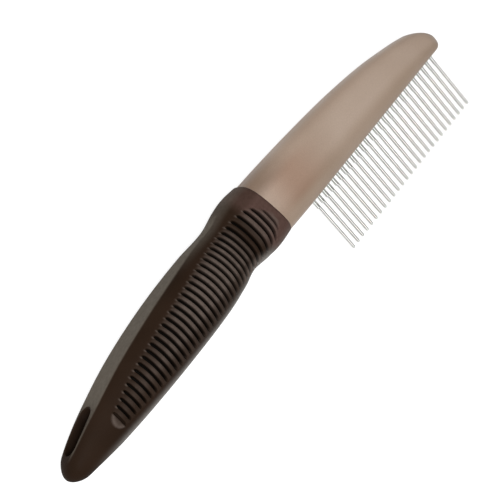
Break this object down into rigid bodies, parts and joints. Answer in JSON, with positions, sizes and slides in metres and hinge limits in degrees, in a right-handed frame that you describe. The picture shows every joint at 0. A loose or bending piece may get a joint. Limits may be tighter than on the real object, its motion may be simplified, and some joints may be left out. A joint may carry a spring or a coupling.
{
  "type": "grooming comb",
  "caption": "Pet grooming comb: plastic head with two staggered rows of long and short steel teeth, and a ribbed rubber grip with a hanging slot.",
  "frame": {"origin": "under the middle of the comb as it lies on its side, at the centre of its bounding box in X and Y and at its lowest point in Z", "axes": "+X from the grip to the tip of the head, +Y from the teeth to the comb's back, +Z across the comb's thickness"},
  "size_m": [0.1994, 0.0466, 0.0197],
  "materials": {
    "head_plastic": "satin taupe ABS",
    "grip_rubber": "dark brown soft-touch rubber",
    "tooth_steel": "polished stainless steel"
  },
  "bodies": {
    "root": {"comb_head_and_tang": "head_plastic", "grip_sleeve": "grip_rubber", "long_tooth_01": "tooth_steel", "short_tooth_01": "tooth_steel", "long_tooth_02": "tooth_steel", "short_tooth_02": "tooth_steel", "long_tooth_03": "tooth_steel", "short_tooth_03": "tooth_steel", "long_tooth_04": "tooth_steel", "short_tooth_04": "tooth_steel", "long_tooth_05": "tooth_steel", "short_tooth_05": "tooth_steel", "long_tooth_06": "tooth_steel", "short_tooth_06": "tooth_steel", "long_tooth_07": "tooth_steel", "short_tooth_07": "tooth_steel", "long_tooth_08": "tooth_steel", "short_tooth_08": "tooth_steel", "long_tooth_09": "tooth_steel", "short_tooth_09": "tooth_steel", "long_tooth_10": "tooth_steel", "short_tooth_10": "tooth_steel", "long_tooth_11": "tooth_steel", "short_tooth_11": "tooth_steel", "long_tooth_12": "tooth_steel", "short_tooth_12": "tooth_steel", "long_tooth_13": "tooth_steel", "short_tooth_13": "tooth_steel", "long_tooth_14": "tooth_steel", "short_tooth_14": "tooth_steel", "long_tooth_15": "tooth_steel", "short_tooth_15": "tooth_steel", "long_tooth_16": "tooth_steel", "short_tooth_16": "tooth_steel", "long_tooth_17": "tooth_steel", "short_tooth_17": "tooth_steel", "long_tooth_18": "tooth_steel", "short_tooth_18": "tooth_steel", "long_tooth_19": "tooth_steel", "short_tooth_19": "tooth_steel", "long_tooth_20": "tooth_steel", "short_tooth_20": "tooth_steel", "long_tooth_21": "tooth_steel", "short_tooth_21": "tooth_steel", "long_tooth_22": "tooth_steel", "short_tooth_22": "tooth_steel", "long_tooth_23": "tooth_steel", "short_tooth_23": "tooth_steel", "long_tooth_24": "tooth_steel", "short_tooth_24": "tooth_steel", "long_tooth_25": "tooth_steel", "short_tooth_25": "tooth_steel", "long_tooth_26": "tooth_steel", "short_tooth_26": "tooth_steel", "long_tooth_27": "tooth_steel", "short_tooth_27": "tooth_steel"}
  },
  "joints": []
}
